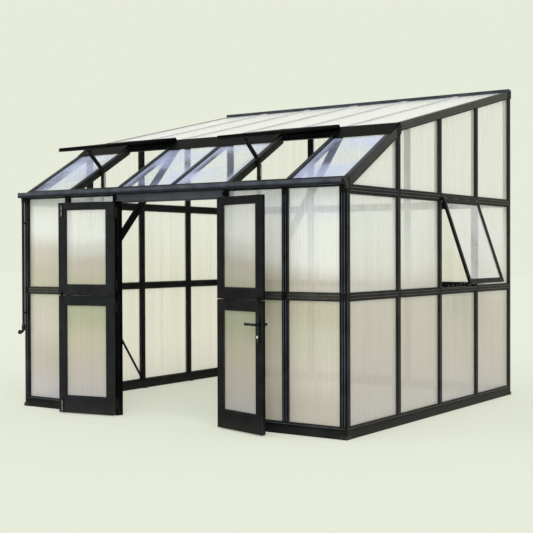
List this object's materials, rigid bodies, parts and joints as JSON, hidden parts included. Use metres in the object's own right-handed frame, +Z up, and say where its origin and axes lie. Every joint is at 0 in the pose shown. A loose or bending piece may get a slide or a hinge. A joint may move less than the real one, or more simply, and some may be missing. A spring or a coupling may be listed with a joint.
{
  "type": "lean-to greenhouse",
  "caption": "Walk-in lean-to greenhouse: black aluminium frame, twin-wall sheet walls, steep glazed lower roof with open vents, split double doors and a side window.",
  "frame": {"origin": "on the ground, under the middle of the bounding box in plan, with the doors, vents and window open as in the picture", "axes": "+X to the right seen from the front, +Y from the doors to the back wall, +Z up"},
  "size_m": [3.7942, 3.5258, 3.065],
  "materials": {
    "black_aluminium": "satin black powder coat",
    "black_hardware": "semi-gloss black",
    "twin_wall_sheet": "translucent twin-wall sheet with upright flutes",
    "roof_sheet": "opal twin-wall sheet",
    "clear_glass": "clear"
  },
  "bodies": {
    "root": {"front_sills": "black_aluminium", "side_sills": "black_aluminium", "back_sill": "black_aluminium", "corner_post_front_left": "black_aluminium", "corner_post_front_right": "black_aluminium", "corner_post_back_left": "black_aluminium", "corner_post_back_right": "black_aluminium", "door_jambs": "black_aluminium", "door_header": "black_aluminium", "front_studs": "black_aluminium", "left_wall_posts": "black_aluminium", "right_wall_posts": "black_aluminium", "back_wall_posts": "black_aluminium", "front_mid_rails": "black_aluminium", "left_wall_rails": "black_aluminium", "right_wall_rails": "black_aluminium", "back_wall_rails": "black_aluminium", "eave_beam": "black_aluminium", "kink_purlin": "black_aluminium", "kink_flashing": "black_aluminium", "wall_plate": "black_aluminium", "lower_rafters": "black_aluminium", "upper_rafters": "black_aluminium", "front_sheets": "twin_wall_sheet", "left_wall_sheets": "twin_wall_sheet", "right_wall_sheets": "twin_wall_sheet", "back_wall_sheets": "twin_wall_sheet", "lower_roof_glass": "clear_glass", "upper_roof_sheets": "roof_sheet", "left_vent_frame": "black_aluminium", "left_vent_glass": "clear_glass", "left_vent_opener": "black_aluminium", "right_vent_frame": "black_aluminium", "right_vent_glass": "clear_glass", "right_vent_opener": "black_aluminium", "window_sash": "black_aluminium", "window_glass": "clear_glass", "left_jamb_hinges": "black_aluminium", "right_jamb_hinges": "black_aluminium", "knee_braces": "black_aluminium", "side_wall_brace": "black_aluminium", "gutter": "black_aluminium", "gutter_end_caps": "black_aluminium", "downpipe": "black_aluminium", "roof_brackets": "black_aluminium", "corner_shoes": "black_aluminium"},
    "left_door": {"left_door_lower_frame": "black_aluminium", "left_door_upper_frame": "black_aluminium", "left_door_sheets": "twin_wall_sheet", "left_door_hinges": "black_aluminium", "left_door_bolts": "black_hardware"},
    "right_door": {"right_door_lower_frame": "black_aluminium", "right_door_upper_frame": "black_aluminium", "right_door_sheets": "twin_wall_sheet", "right_door_hinges": "black_aluminium", "right_door_latch": "black_hardware", "right_door_lock_plates": "black_hardware"},
    "door_handle": {"lever_handle": "black_hardware"}
  },
  "joints": [
    {"name": "left_door_hinge", "type": "hinge", "parent": "root", "child": "left_door", "pos_m": [-0.7181, -1.51913, 1.06], "axis": [0, 0, 1], "range_deg": [-5, 170]},
    {"name": "right_door_hinge", "type": "hinge", "parent": "root", "child": "right_door", "pos_m": [0.4419, -1.51913, 1.06], "axis": [0, 0, 1], "range_deg": [-164, 8]},
    {"name": "door_handle_turn", "type": "hinge", "parent": "right_door", "child": "door_handle", "pos_m": [0.94928, -1.69791, 0.872], "axis": [-0.2756, -0.9613, 0], "range_deg": [0, 40], "stiffness_Nm_per_rad": 0.8}
  ]
}
